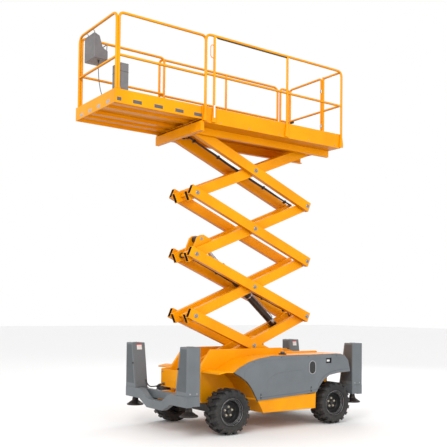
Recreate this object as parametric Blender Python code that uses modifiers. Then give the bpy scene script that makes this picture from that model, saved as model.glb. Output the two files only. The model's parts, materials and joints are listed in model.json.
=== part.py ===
"""Rough-terrain scissor lift, raised part way, with its extension deck out.

Metres, +Z up, +X towards the machine's front, +Y towards its left side.
The lift is drawn about the middle of its wheelbase, and moved at the end so that the
origin is on the ground below the middle of its whole length.
"""
import math

import bmesh
import bpy
from mathutils import Matrix, Vector

# ---------------------------------------------------------------- driving dimensions
GAP = 0.0003                    # between pieces that touch
WHEELBASE = 2.04
TYRE_RADIUS = 0.33
TYRE_WIDTH = 0.29
WHEEL_Y = 0.750                 # middle of a tyre
KINGPIN_Y = 0.555
HUB_Z = TYRE_RADIUS

ARM_LENGTH = 2.383              # pin to pin
ARM_ANGLE = math.radians(22.63)  # of the stack as it stands
ARM_DEPTH = 0.155
ARM_THICK = 0.080
STAGES = 4
PIVOT_X = 1.28                  # the fixed pivots, front
PIVOT_Z = 0.781
INNER_Y = 0.130                 # inner arms: inboard face
OUTER_Y = 0.220                 # outer arms: inboard face
FRONT_TIP = 0.115               # arm beyond its front pin
REAR_TIP = 0.050                # arm beyond its rear pin
PIN_R = 0.0285
HOLE_R = 0.0300
ROLLER_R = 0.040
ROLLER_Y = 0.340                # outboard face of the rollers and pin ends
SHAFT_STEPS = 12

RUN = ARM_LENGTH * math.cos(ARM_ANGLE)
RISE = ARM_LENGTH * math.sin(ARM_ANGLE)
REAR_X = PIVOT_X - RUN
TOP_PIN_Z = PIVOT_Z + STAGES * RISE

CYL_FOOT = 1.928                # along inner arm 1, from its front pin
CYL_HEAD = (0.283, 0.158)       # along and above inner arm 3
CYL_LUG_Y = 0.085
BARREL_LENGTH = 1.470
BARREL_R = 0.056
BORE_R = 0.036
ROD_R = 0.031
ROD_LENGTH = 1.400

WALL_Y = 0.400                  # outside of the chassis walls
CHASSIS_REAR = -1.28
CHASSIS_FRONT = 1.45
BOX_IN, BOX_OUT = WALL_Y + 0.0005, 0.846
DOOR_IN, DOOR_OUT = 0.852, 0.864
TOWER_Y = 0.880
BEAM_TOP = 0.590
TOWER_TOP = 1.270
JACK_Y = 0.770
JACK_LOW = 0.300                # underside of a raised jack pad
FRONT_TOWER_X = (1.580, 1.800)
REAR_TOWER_X = (-1.620, -1.400)

DECK_REAR, DECK_FRONT = -1.330, 1.440
DECK_HALF = 0.640
EXT_REAR, EXT_FRONT = 1.250, 2.830
EXT_HALF = 0.622
BOARD_TOP = 4.730
TOP_RAIL, MID_RAIL = 5.780, 5.200
RAIL_R = 0.0190
MAIN_RAIL_Y = DECK_HALF + RAIL_R + GAP
EXT_RAIL_Y = 0.590
EXT_FLOOR = 4.620
GATE_X = DECK_REAR + 0.012 + RAIL_R + 0.004

PAD_R = 0.130
MIDDLE_X = (EXT_FRONT + 0.001 + (REAR_TOWER_X[0] + REAR_TOWER_X[1]) / 2 - PAD_R) / 2

COLOURS = {                     # base colour, roughness, metallic
    "yellow": ((0.95, 0.43, 0.004), 0.35, 0.0),
    "grey": ((0.165, 0.185, 0.200), 0.50, 0.0),
    "dark_steel": ((0.030, 0.028, 0.030), 0.45, 0.6),
    "rubber": ((0.018, 0.018, 0.019), 0.80, 0.0),
    "rim": ((0.060, 0.062, 0.066), 0.40, 0.5),
    "chrome": ((0.75, 0.76, 0.78), 0.12, 1.0),
    "box_grey": ((0.400, 0.370, 0.380), 0.50, 0.2),
    "cable": ((0.012, 0.012, 0.012), 0.60, 0.0),
}


# ---------------------------------------------------------------- scene helpers
def clear_scene():
    for item in list(bpy.data.objects):
        bpy.data.objects.remove(item, do_unlink=True)


def new_collection(name):
    collection = bpy.data.collections.new(name)
    bpy.context.scene.collection.children.link(collection)
    return collection


def material(name):
    if name in bpy.data.materials:
        return bpy.data.materials[name]
    colour, roughness, metallic = COLOURS[name]
    made = bpy.data.materials.new(name)
    made.use_nodes = True
    shader = made.node_tree.nodes["Principled BSDF"]
    shader.inputs["Base Color"].default_value = (*colour, 1.0)
    shader.inputs["Roughness"].default_value = roughness
    shader.inputs["Metallic"].default_value = metallic
    return made


def add_object(name, mesh):
    item = bpy.data.objects.new(name, mesh)
    PARTS.objects.link(item)
    return item


def mesh_object(bm, name="piece"):
    """A mesh object from a bmesh, with its faces turned outwards."""
    bmesh.ops.recalc_face_normals(bm, faces=bm.faces)
    if bm.calc_volume(signed=True) < 0.0:
        bmesh.ops.reverse_faces(bm, faces=bm.faces)
    mesh = bpy.data.meshes.new(name)
    bm.to_mesh(mesh)
    bm.free()
    return add_object(name, mesh)


def as_mesh(item):
    """Replaces a curve, or an object with modifiers, by its welded mesh in world space."""
    graph = bpy.context.evaluated_depsgraph_get()
    mesh = bpy.data.meshes.new_from_object(item.evaluated_get(graph))
    bm = bmesh.new()
    bm.from_mesh(mesh)
    bm.transform(item.matrix_world)
    bmesh.ops.remove_doubles(bm, verts=bm.verts, dist=1e-5)
    bpy.data.objects.remove(item, do_unlink=True)
    bpy.data.meshes.remove(mesh)
    return mesh_object(bm)


def finish(item, name, colour, pivot=None):
    """Names a node, gives it its material and puts its origin on its pivot."""
    item.name = name
    item.data.name = name
    item.data.materials.clear()
    item.data.materials.append(material(colour))
    if pivot is not None:
        item.data.transform(Matrix.Translation(-Vector(pivot)))
        item.location = pivot
    item.data.shade_smooth()
    item.data.set_sharp_from_angle(angle=math.radians(35))
    return item


# ---------------------------------------------------------------- shapes
def box(x, y, z):
    bm = bmesh.new()
    bmesh.ops.create_cube(bm, size=1.0)
    size = Vector((x[1] - x[0], y[1] - y[0], z[1] - z[0]))
    centre = Vector(((x[0] + x[1]) / 2, (y[0] + y[1]) / 2, (z[0] + z[1]) / 2))
    bmesh.ops.scale(bm, vec=size, verts=bm.verts)
    bmesh.ops.translate(bm, vec=centre, verts=bm.verts)
    return mesh_object(bm)


def rod(start, end, radius, steps=SHAFT_STEPS):
    """A plain cylinder between two points."""
    start, end = Vector(start), Vector(end)
    bm = bmesh.new()
    bmesh.ops.create_cone(bm, cap_ends=True, segments=steps, radius1=radius, radius2=radius,
                          depth=(end - start).length)
    turn = (end - start).to_track_quat("Z", "Y").to_matrix().to_4x4()
    bm.transform(Matrix.Translation((start + end) / 2) @ turn)
    return mesh_object(bm)


def plate(outline, axis, low, high):
    """A flat outline made into a plate. Axis Y takes (x, z) points and axis X takes (y, z)."""
    curve = bpy.data.curves.new("outline", "CURVE")
    curve.dimensions = "2D"
    curve.fill_mode = "BOTH"
    curve.extrude = (high - low) / 2
    spline = curve.splines.new("POLY")
    spline.points.add(len(outline) - 1)
    for point, (u, v) in zip(spline.points, outline):
        point.co = (u, v, 0.0, 1.0)
    spline.use_cyclic_u = True
    item = add_object("plate", curve)
    middle = (low + high) / 2
    if axis == "Y":
        item.matrix_world = Matrix(((1, 0, 0, 0), (0, 0, -1, middle), (0, 1, 0, 0), (0, 0, 0, 1)))
    else:
        item.matrix_world = Matrix(((0, 0, 1, middle), (1, 0, 0, 0), (0, 1, 0, 0), (0, 0, 0, 1)))
    bpy.context.view_layer.update()
    return as_mesh(item)


def tube(points, radius, resolution=2):
    """A round tube along points, with filled ends."""
    curve = bpy.data.curves.new("tube", "CURVE")
    curve.dimensions = "3D"
    curve.bevel_depth = radius
    curve.bevel_resolution = resolution
    curve.use_fill_caps = True
    spline = curve.splines.new("POLY")
    spline.points.add(len(points) - 1)
    for point, place in zip(spline.points, points):
        point.co = (*place, 1.0)
    item = add_object("tube", curve)
    bpy.context.view_layer.update()
    return as_mesh(item)


def turned(profile, centre, axis, steps):
    """A closed profile of (radius, height) turned about an axis through the centre."""
    mesh = bpy.data.meshes.new("profile")
    edges = [(i, (i + 1) % len(profile)) for i in range(len(profile))]
    if profile[0][0] == 0.0:
        edges.pop()             # an open profile that starts and ends on the axis
    mesh.from_pydata([(r, 0.0, h) for r, h in profile], edges, [])
    item = add_object("turned", mesh)
    screw = item.modifiers.new("turn", "SCREW")
    screw.steps = steps
    screw.render_steps = steps
    screw.use_merge_vertices = True
    screw.merge_threshold = 0.00001
    turn = Vector(axis).to_track_quat("Z", "Y").to_matrix().to_4x4()
    item.matrix_world = Matrix.Translation(centre) @ turn
    bpy.context.view_layer.update()
    return as_mesh(item)


def combine(target, others, operation="UNION"):
    """Applies one Boolean for each of the other objects, and removes them."""
    for other in others:
        other.hide_render = True
        other.display_type = "WIRE"
        CUTTERS.objects.link(other)
        PARTS.objects.unlink(other)
        modifier = target.modifiers.new("join", "BOOLEAN")
        modifier.operation = operation
        modifier.solver = "EXACT"
        modifier.object = other
    bpy.context.view_layer.update()
    result = as_mesh(target)
    for other in others:
        bpy.data.objects.remove(other, do_unlink=True)
    return result


def cut(target, cutters):
    return combine(target, cutters, "DIFFERENCE")


def arc(centre, radius, start, end, steps):
    """Points on an arc, angles in degrees."""
    span = [math.radians(start + (end - start) * i / steps) for i in range(steps + 1)]
    return [(centre[0] + radius * math.cos(a), centre[1] + radius * math.sin(a)) for a in span]


def bent(points, radius, steps=2):
    """Rounds the inner corners of a path."""
    path = [Vector(points[0])]
    for before, corner, after in zip(points, points[1:], points[2:]):
        corner = Vector(corner)
        start = corner + (Vector(before) - corner).normalized() * radius
        end = corner + (Vector(after) - corner).normalized() * radius
        for i in range(steps + 1):
            t = i / steps
            path.append(start * (1 - t) ** 2 + corner * 2 * t * (1 - t) + end * t ** 2)
    path.append(Vector(points[-1]))
    return path


# ---------------------------------------------------------------- running gear
def wheel(tag, x, side):
    """A cleated tyre's plain envelope and its dished rim, both turned about the axle."""
    half = TYRE_WIDTH / 2
    centre = (x, side * WHEEL_Y, HUB_Z)
    out = (0, side, 0)
    r = TYRE_RADIUS
    tread = [(0.200, -half + 0.015), (0.235, -half), (r - 0.035, -half + 0.004),
             (r, -half + 0.040), (r, half - 0.040), (r - 0.035, half - 0.004),
             (0.235, half), (0.200, half - 0.015)]
    finish(turned(tread, centre, out, 24), "tyre_" + tag, "rubber", centre)
    rim = [(0.0, -0.055), (0.070, -0.055), (0.070, 0.020), (0.160, 0.030), (0.180, -0.110),
           (0.1975, -0.125), (0.1975, 0.125), (0.180, 0.110), (0.165, 0.062), (0.105, 0.050),
           (0.085, 0.075), (0.0, 0.075)]
    finish(turned(rim, centre, out, 16), "rim_" + tag, "rim", centre)


def knuckle(tag, side):
    """The steered stub axle, turning on its kingpin."""
    x = WHEELBASE / 2
    pin = rod((x, side * KINGPIN_Y, 0.222), (x, side * KINGPIN_Y, 0.438), 0.042)
    stub_end = side * (WHEEL_Y - 0.055 - GAP)
    stub = rod((x, side * KINGPIN_Y, HUB_Z), (x, stub_end, HUB_Z), 0.034)
    item = combine(pin, [stub])
    finish(item, "knuckle_" + tag, "dark_steel", (x, side * KINGPIN_Y, HUB_Z))


def front_axle():
    x = WHEELBASE / 2
    beam = box((x - 0.050, x + 0.050), (-0.470, 0.470), (0.270, 0.390))
    pads = [box((x - 0.080, x + 0.080), (s * 0.26 - 0.06, s * 0.26 + 0.06), (0.380, 0.4197))
            for s in (-1, 1)]
    yokes = []
    for s in (-1, 1):
        low, high = sorted((s * 0.455, s * 0.500))
        yokes.append(box((x - 0.055, x + 0.055), (low, high), (0.196, 0.464)))
        for z in (0.190, 0.444):
            low, high = sorted((s * 0.460, s * 0.600))
            yokes.append(box((x - 0.050, x + 0.050), (low, high), (z, z + 0.026)))
    finish(combine(beam, pads + yokes), "front_axle", "dark_steel")


def rear_axle():
    x = -WHEELBASE / 2
    beam = rod((x, -0.6945, HUB_Z), (x, 0.6945, HUB_Z), 0.045)
    housing = box((x - 0.070, x + 0.070), (-0.520, 0.520), (0.262, 0.398))
    pads = [box((x - 0.080, x + 0.080), (s * 0.26 - 0.06, s * 0.26 + 0.06), (0.390, 0.4197))
            for s in (-1, 1)]
    finish(combine(beam, [housing] + pads), "rear_axle", "dark_steel")


# ---------------------------------------------------------------- chassis
def chassis_frame():
    """A trough whose walls stand beside the folded stack, with a ledge for the rollers."""
    section = [(-WALL_Y, 0.420), (WALL_Y, 0.420), (WALL_Y, 1.200), (0.350, 1.200),
               (0.350, 0.740), (0.307, 0.740), (0.307, 0.600), (-0.307, 0.600),
               (-0.307, 0.740), (-0.350, 0.740), (-0.350, 1.200), (-WALL_Y, 1.200)]
    trough = plate(section, "X", CHASSIS_REAR, CHASSIS_FRONT - 0.015)
    inside = WALL_Y - 0.001
    nose = box((CHASSIS_FRONT - 0.016, CHASSIS_FRONT), (-inside, inside), (0.612, 0.880))
    tail = box((CHASSIS_REAR - 0.015, CHASSIS_REAR + 0.001), (-inside, inside), (0.422, 0.880))
    belly = box((-0.600, 0.520), (-inside, inside), (0.300, 0.425))
    spine = [box((1.200, FRONT_TOWER_X[0] - GAP), (s * 0.22 - 0.06, s * 0.22 + 0.06),
                 (0.430, 0.560)) for s in (-1, 1)]
    chin = plate([(1.220, 0.400), (1.600, 0.400), (1.600, 0.608), (1.290, 0.608)], "Y", -0.5, 0.5)
    trough = cut(trough, [chin])
    stern = [box((REAR_TOWER_X[1] + GAP, CHASSIS_REAR), (s * 0.22 - 0.06, s * 0.22 + 0.06),
                 (0.430, 0.560)) for s in (-1, 1)]
    body = combine(trough, [nose, tail, belly] + spine + stern)
    slope_front = plate([(1.03, 1.25), (1.60, 1.25), (1.60, 0.882), (1.300, 0.888)], "Y", -0.5, 0.5)
    slope_rear = plate([(-0.25, 1.25), (-0.35, 1.135), (-1.05, 1.135), (-1.20, 0.90),
                        (-1.50, 0.90), (-1.50, 1.25)], "Y", -0.5, 0.5)
    finish(cut(body, [slope_front, slope_rear]), "chassis_frame", "yellow")


def side_outline():
    """The side housing seen from the side: hood, wheel arches and tray."""
    return ([(1.240, 0.868), (1.235, 0.888), (1.100, 0.915), (0.985, 0.905), (0.887, 0.962),
             (0.713, 1.040), (0.535, 1.084), (0.317, 1.110), (-1.156, 1.110), (-1.250, 1.080),
             (-1.330, 1.000), (-1.372, 0.812), (-1.116, 0.800), (-0.904, 0.770), (-0.760, 0.680),
             (-0.678, 0.595), (-0.628, 0.515), (-0.620, 0.270), (0.426, 0.270), (0.530, 0.452),
             (0.572, 0.500), (0.645, 0.640), (0.745, 0.760), (0.850, 0.830), (0.980, 0.880),
             (1.100, 0.892)])


def side_cavity():
    """The bay inside the housing, open to the door."""
    return [(0.560, 1.040), (0.317, 1.085), (-1.140, 1.085), (-1.290, 0.990), (-1.330, 0.850),
            (-1.100, 0.830), (-0.880, 0.795), (-0.725, 0.690), (-0.600, 0.540), (-0.595, 0.500),
            (0.530, 0.500), (0.610, 0.650), (0.700, 0.780), (0.780, 0.850), (0.860, 0.930)]


def side_box(tag, side):
    low, high = sorted((side * BOX_IN, side * BOX_OUT))
    shell = plate(side_outline(), "Y", low, high)
    inner, outer = sorted((side * (BOX_IN + 0.015), side * (BOX_OUT + 0.02)))
    item = cut(shell, [plate(side_cavity(), "Y", inner, outer)])
    finish(item, "side_box_" + tag, "yellow")


def side_door(tag, side):
    """The grey panel over a side bay, hinged along its top edge."""
    outline = [(0.980, 0.887), (0.887, 0.956), (0.713, 1.033), (0.535, 1.077), (0.317, 1.104),
               (-1.156, 1.104), (-1.243, 1.075), (-1.320, 0.997), (-1.368, 0.815),
               (-1.116, 0.806), (-0.904, 0.775), (-0.760, 0.686), (-0.678, 0.600),
               (-0.628, 0.518), (0.546, 0.456), (0.597, 0.540), (0.655, 0.641), (0.745, 0.745),
               (0.850, 0.820)]
    low, high = sorted((side * DOOR_IN, side * DOOR_OUT))
    panel = plate(outline, "Y", low, high)
    reach = (-0.9, -0.8) if side < 0 else (0.8, 0.9)
    oval = plate(arc((-0.535, 0.945), 0.062, 0, 180, 6) + arc((-0.535, 0.875), 0.062, 180, 360, 6),
                 "Y", *reach)
    port = box((-0.945, -0.825), reach, (0.965, 1.045))
    finish(cut(panel, [oval, port]), "door_" + tag, "grey", (0.0, side * DOOR_IN, 1.104))


def bay_contents():
    engine = box((-0.480, 0.380), (-0.800, -0.450), (0.500 + GAP, 0.980))
    finish(engine, "engine_block", "dark_steel")


def bumper(tag, tower_x):
    """The outrigger beam: end blocks under the towers and a dropped bar between them."""
    inner, outer = sorted(abs(x) for x in tower_x)
    bar = [(-TOWER_Y, BEAM_TOP), (-TOWER_Y, 0.440), (-0.440, 0.440), (-0.220, 0.330),
           (0.220, 0.330), (0.440, 0.440), (TOWER_Y, 0.440), (TOWER_Y, BEAM_TOP),
           (0.410, BEAM_TOP), (0.190, 0.455), (-0.190, 0.455), (-0.410, BEAM_TOP)]
    bar = plate(bar, "X", outer - 0.090, outer)
    ends = [box((inner + 0.001, outer - 0.001), sorted((s * 0.550, s * (TOWER_Y - 0.002))),
                (0.450, BEAM_TOP - 0.001)) for s in (-1, 1)]
    cross = box((inner + 0.002, inner + 0.082), (-0.560, 0.560), (0.465, 0.575))
    item = combine(bar, ends + [cross])
    middle = (inner + outer) / 2
    holes = [rod((middle, s * JACK_Y, 0.2), (middle, s * JACK_Y, 0.8), 0.047) for s in (-1, 1)]
    item = cut(item, holes)
    if tower_x[0] < 0:
        item.data.transform(Matrix.Rotation(math.pi, 4, "Z"))
    finish(item, tag + "_bumper", "grey")


def tower(tag, tower_x, side):
    """A stabiliser housing: its outer face is upright and its inner face leans."""
    outline = [(side * 0.576, BEAM_TOP + GAP), (side * TOWER_Y, BEAM_TOP + GAP),
               (side * TOWER_Y, TOWER_TOP), (side * 0.690, TOWER_TOP)]
    body = plate(outline, "X", *tower_x)
    middle = sum(tower_x) / 2
    bore = rod((middle, side * JACK_Y, 0.5), (middle, side * JACK_Y, 1.200), 0.047)
    finish(cut(body, [bore]), "tower_" + tag, "grey")


def jack(tag, tower_x, side):
    """A stabiliser leg with its round pad, sliding down out of its tower."""
    centre = (sum(tower_x) / 2, side * JACK_Y, 0.0)
    profile = [(0.0, 1.150), (0.040, 1.150), (0.040, JACK_LOW + 0.075), (0.060, JACK_LOW + 0.060),
               (PAD_R, JACK_LOW + 0.018), (PAD_R, JACK_LOW), (0.0, JACK_LOW)]
    finish(turned(profile, centre, (0, 0, 1), 12), "jack_" + tag, "dark_steel",
           (centre[0], centre[1], JACK_LOW))


# ---------------------------------------------------------------- scissor stack
def knuckle_z(level):
    """Height of the pins above stage number level."""
    return PIVOT_Z + level * RISE


def on_inner(stage, along, above):
    """A point measured along and above an inner arm, from its front pin, as (x, z)."""
    c, s = math.cos(ARM_ANGLE), math.sin(ARM_ANGLE)
    return (PIVOT_X - along * c + above * s, knuckle_z(stage - 1) + along * s + above * c)


def arm_outline(front, rear, front_tip, rear_tip):
    """The side view of an arm between two pins, with square ends."""
    front, rear = Vector(front), Vector(rear)
    ahead = (front - rear).normalized()
    up = Vector((-ahead.y, ahead.x)) * (ARM_DEPTH / 2)
    tip, tail = front + ahead * front_tip, rear - ahead * rear_tip
    return [tip + up, tail + up, tail - up, tip - up]


def arm_pair(outline, inner_face):
    pair = []
    for side in (-1, 1):
        low, high = sorted((side * inner_face, side * (inner_face + ARM_THICK)))
        pair.append(plate([tuple(p) for p in outline], "Y", low, high))
    return pair


def cross_shaft(place, reach, radius):
    return rod((place[0], -reach, place[1]), (place[0], reach, place[1]), radius)


def inner_frame(stage):
    """The inner pair of arms, front end low and rear end high."""
    front = (PIVOT_X, knuckle_z(stage - 1))
    rear = (REAR_X, knuckle_z(stage))
    middle = ((front[0] + rear[0]) / 2, (front[1] + rear[1]) / 2)
    left, right = arm_pair(arm_outline(front, rear, FRONT_TIP, REAR_TIP), INNER_Y)
    ties = {1: (0.45, 1.45), 2: (0.45, 1.95), 3: (1.45, 2.05), 4: (1.45, 2.05)}[stage]
    pieces = [right]
    for along in ties:
        pieces.append(cross_shaft(on_inner(stage, along, 0.0), INNER_Y + 0.03, 0.040))
    if stage == 1:
        pieces += foot_lugs()
        reach = ROLLER_Y
        pieces += [rod((front[0], s * 0.18, front[1]), (front[0], s * reach, front[1]), PIN_R)
                   for s in (-1, 1)]
    if stage == 3:
        pieces += head_lugs()
    if stage == STAGES:
        pieces += [rod((rear[0], s * 0.18, rear[1]), (rear[0], s * 0.31, rear[1]), PIN_R)
                   for s in (-1, 1)]
        pieces += [rod((rear[0], s * 0.305, rear[1]), (rear[0], s * ROLLER_Y, rear[1]), ROLLER_R)
                   for s in (-1, 1)]
    frame = combine(left, pieces)
    holes = [cross_shaft(middle, 0.5, HOLE_R)]
    if stage > 1:
        holes.append(cross_shaft(front, 0.5, HOLE_R))
    if stage < STAGES:
        holes.append(cross_shaft(rear, 0.5, HOLE_R))
    finish(cut(frame, holes), "inner_frame_%d" % stage, "yellow", (front[0], 0.0, front[1]))


def lug(outline):
    """A pair of lugs beside the lift cylinder, clear of the arms of the next stage."""
    return [plate(outline, "Y", *sorted((s * CYL_LUG_Y, s * (INNER_Y - 0.006)))) for s in (-1, 1)]


def web(outline):
    """Joins the lugs to the inside faces of the arms."""
    return [plate(outline, "Y", *sorted((s * (INNER_Y - 0.020), s * (INNER_Y + 0.010))))
            for s in (-1, 1)]


def foot_lugs():
    spots = [(-0.10, -0.060), (0.10, -0.060), (0.10, 0.060), (-0.10, 0.060)]
    outline = [on_inner(1, CYL_FOOT + u, v) for u, v in spots]
    return lug(outline) + web(outline)


def head_lugs():
    u, v = CYL_HEAD
    spots = [(0.04, -0.06), (0.80, -0.06), (0.80, 0.055), (0.46, 0.075), (u + 0.06, v + 0.045),
             (u, v + 0.060), (u - 0.06, v + 0.045), (0.08, 0.060)]
    base = [(0.06, -0.05), (0.78, -0.05), (0.78, 0.05), (0.06, 0.05)]
    return (lug([on_inner(3, *spot) for spot in spots])
            + web([on_inner(3, *spot) for spot in base]))


def outer_frame(stage):
    """The outer pair of arms, rear end low and front end high, with the stack's pins."""
    front = (PIVOT_X, knuckle_z(stage))
    rear = (REAR_X, knuckle_z(stage - 1))
    middle = ((front[0] + rear[0]) / 2, (front[1] + rear[1]) / 2)
    front_tip = REAR_TIP if stage == STAGES else FRONT_TIP
    left, right = arm_pair(arm_outline(front, rear, front_tip, REAR_TIP), OUTER_Y)
    reach = ROLLER_Y if stage == STAGES else OUTER_Y + ARM_THICK + 0.004
    pieces = [right, cross_shaft(front, reach, PIN_R)]
    if stage == 1:
        pieces.append(cross_shaft(rear, 0.31, PIN_R))
        pieces += [rod((rear[0], s * 0.305, rear[1]), (rear[0], s * ROLLER_Y, rear[1]), ROLLER_R)
                   for s in (-1, 1)]
    else:
        pieces.append(cross_shaft(rear, OUTER_Y + ARM_THICK + 0.004, PIN_R))
    for s in (-1, 1):
        pieces.append(rod((middle[0], s * (INNER_Y + 0.002), middle[1]),
                          (middle[0], s * (OUTER_Y + ARM_THICK + 0.004), middle[1]), PIN_R))
    finish(combine(left, pieces), "outer_frame_%d" % stage, "yellow", (middle[0], 0.0, middle[1]))


def lift_cylinder():
    """One cylinder, from the top of the first stage to the foot of the third."""
    foot = on_inner(1, CYL_FOOT, 0.0)
    head = on_inner(3, *CYL_HEAD)
    foot, head = Vector((foot[0], 0.0, foot[1])), Vector((head[0], 0.0, head[1]))
    along = (head - foot).normalized()
    pin_half = CYL_LUG_Y - 0.005
    barrel = rod(foot, foot + along * BARREL_LENGTH, BARREL_R)
    collar = rod(foot + along * (BARREL_LENGTH - 0.06), foot + along * (BARREL_LENGTH + 0.01),
                 BARREL_R + 0.008)
    eye = rod(foot - Vector((0, pin_half, 0)), foot + Vector((0, pin_half, 0)), 0.050)
    body = combine(barrel, [collar, eye])
    bore = rod(foot + along * 0.14, head, BORE_R)
    finish(cut(body, [bore]), "cylinder_barrel", "dark_steel", foot)
    shaft = rod(head - along * ROD_LENGTH, head, ROD_R)
    head_eye = rod(head - Vector((0, pin_half, 0)), head + Vector((0, pin_half, 0)), 0.048)
    finish(combine(shaft, [head_eye]), "cylinder_rod", "chrome", head)


# ---------------------------------------------------------------- platform
def half_and_mirror(half):
    """Closes a section drawn on the +Y half."""
    return half + [(-y, z) for y, z in reversed(half)]


def main_deck():
    half = [(0.600, 4.556), (0.600, 4.548), (0.360, 4.548), (0.360, 4.512), (0.628, 4.512),
            (0.628, BOARD_TOP), (DECK_HALF, BOARD_TOP), (DECK_HALF, 4.500), (0.360, 4.500),
            (0.360, 4.396), (0.305, 4.396), (0.305, 4.408), (0.345, 4.408), (0.345, 4.548)]
    section = half + [(-y, z) for y, z in reversed(half)]
    tray = plate(section, "X", DECK_REAR, DECK_FRONT)
    stern = box((DECK_REAR - 0.001, DECK_REAR + 0.012), (-0.639, 0.639), (4.501, BOARD_TOP - 0.001))
    beam = box((DECK_FRONT - 0.035, DECK_FRONT + 0.025), (-DECK_HALF, DECK_HALF), (4.372, 4.511))
    finish(combine(tray, [stern, beam]), "main_deck", "yellow", (PIVOT_X, 0.0, TOP_PIN_Z))


def extension_deck():
    half = [(0.612, EXT_FLOOR), (0.612, BOARD_TOP), (EXT_HALF, BOARD_TOP), (EXT_HALF, 4.538),
            (0.613, 4.538), (0.611, 4.610), (0.500, 4.610), (0.500, 4.563), (0.400, 4.563),
            (0.400, 4.610), (0.250, 4.610), (0.250, 4.563), (0.150, 4.563), (0.150, 4.610)]
    tray = plate(half_and_mirror(half), "X", EXT_REAR, EXT_FRONT)
    bow = box((EXT_FRONT - 0.011, EXT_FRONT + 0.001), (-0.621, 0.621), (4.539, BOARD_TOP - 0.001))
    finish(combine(tray, [bow]), "extension_deck", "yellow")


def main_rail(tag, side, front, rear, posts):
    """A guard rail on the outside of the deck's board."""
    y = side * MAIN_RAIL_Y
    low = 4.510
    loop = tube(bent([(front, y, low), (front, y, TOP_RAIL), (rear, y, TOP_RAIL), (rear, y, low)],
                     0.10), RAIL_R)
    pieces = [tube([(front, y, MID_RAIL), (rear, y, MID_RAIL)], RAIL_R * 0.95)]
    for x in posts:
        pieces.append(tube([(x, y, low), (x, y, TOP_RAIL)], RAIL_R * 0.97))
    finish(combine(loop, pieces), "main_rail_" + tag, "yellow")


def rear_rails():
    """The corner rail on the right, and the bars beside the gate on the left."""
    y = -MAIN_RAIL_Y
    corner = tube(bent([(-1.115, y, 4.510), (-1.115, y, TOP_RAIL), (DECK_REAR, y, TOP_RAIL),
                        (DECK_REAR, y, 4.510)], 0.06), RAIL_R)
    mid = tube([(-1.115, y, MID_RAIL), (DECK_REAR, y, MID_RAIL)], RAIL_R * 0.95)
    finish(combine(corner, [mid]), "rear_rail_right", "yellow")
    x = GATE_X
    low = BOARD_TOP + GAP
    y_end = MAIN_RAIL_Y - RAIL_R - 0.002
    post = tube([(x, 0.262, low), (x, 0.262, TOP_RAIL - 0.0002)], RAIL_R)
    bars = [tube([(x, 0.262, z), (x, y_end, z)], RAIL_R * 0.95) for z in (TOP_RAIL - 0.02, MID_RAIL)]
    finish(combine(post, bars), "rear_rail_left", "yellow")


def rear_gate():
    """A swing gate between the rear rails, hinged beside the fixed post."""
    x = GATE_X
    near, far = 0.215, -0.600
    top, low = TOP_RAIL - 0.010, 4.770
    frame = tube(bent([(x, 0.0, low), (x, near, low), (x, near, top), (x, far, top),
                       (x, far, low), (x, -0.001, low)], 0.06), RAIL_R)
    mid = tube([(x, near, MID_RAIL), (x, far, MID_RAIL)], RAIL_R * 0.95)
    finish(combine(frame, [mid]), "rear_gate", "yellow", (x, near, MID_RAIL))


def extension_rails():
    """The front loop and the two side loops, welded where they meet."""
    low = EXT_FLOOR + GAP
    x = EXT_FRONT - 0.011 - RAIL_R - 0.002
    y = EXT_RAIL_Y
    front = tube(bent([(x, y, low), (x, y, TOP_RAIL), (x, -y, TOP_RAIL), (x, -y, low)], 0.12),
                 RAIL_R)
    pieces = [tube([(x, y, 5.170), (x, -y, 5.170)], RAIL_R * 0.95)]
    ahead, back = x - 1.9 * RAIL_R, 1.355
    for y in (EXT_RAIL_Y - 0.001, 0.001 - EXT_RAIL_Y):
        pieces.append(tube(bent([(ahead, y, low + 0.001), (ahead, y, TOP_RAIL - 0.002),
                                 (back, y, TOP_RAIL - 0.002), (back, y, low + 0.001)], 0.08),
                           RAIL_R))
        pieces.append(tube([(ahead, y, MID_RAIL), (back, y, MID_RAIL)], RAIL_R * 0.95))
    finish(combine(front, pieces), "extension_rail", "yellow")


def platform_boxes():
    """The control box on the front rail and the manual box in the corner."""
    outline = [(2.560, 5.370), (2.560, 5.500), (2.640, 5.540), (2.690, 5.700), (2.774, 5.735),
               (2.774, 5.370)]
    finish(plate(outline, "Y", -0.480, -0.150), "control_box", "box_grey")
    manual = box((2.600, 2.740), (0.360, 0.568), (4.700, 5.110))
    finish(manual, "manual_box", "box_grey")


CABLE_ROUTE = [(2.660, -0.250, 5.3697), (2.660, -0.249, 5.335), (2.660, -0.246, 5.270),
               (2.661, -0.238, 5.190), (2.662, -0.222, 5.100), (2.663, -0.196, 5.010),
               (2.664, -0.160, 4.922), (2.665, -0.115, 4.845), (2.666, -0.062, 4.782),
               (2.667, -0.002, 4.733), (2.668, 0.062, 4.702), (2.669, 0.128, 4.692),
               (2.669, 0.192, 4.702), (2.669, 0.248, 4.728), (2.668, 0.292, 4.762),
               (2.668, 0.322, 4.782),
               (2.668, 0.345, 4.790), (2.668, 0.3588, 4.791)]


def smooth_route(points, step):
    """Points a step apart on a smooth curve through a route."""
    ends = [points[0]] + [Vector(p) for p in points] + [points[-1]]
    ends = [Vector(p) for p in ends]
    fine = []
    for a, b, c, d in zip(ends, ends[1:], ends[2:], ends[3:]):
        count = max(1, round((c - b).length / step))
        for i in range(count):
            t = i / count
            fine.append(0.5 * (2 * b + (c - a) * t + (2 * a - 5 * b + 4 * c - d) * t ** 2
                               + (3 * b - a - 3 * c + d) * t ** 3))
    fine.append(ends[-1])
    return fine


def control_cable():
    item = tube(smooth_route(CABLE_ROUTE, 0.024), 0.005)
    finish(item, "control_cable", "cable")


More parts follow.
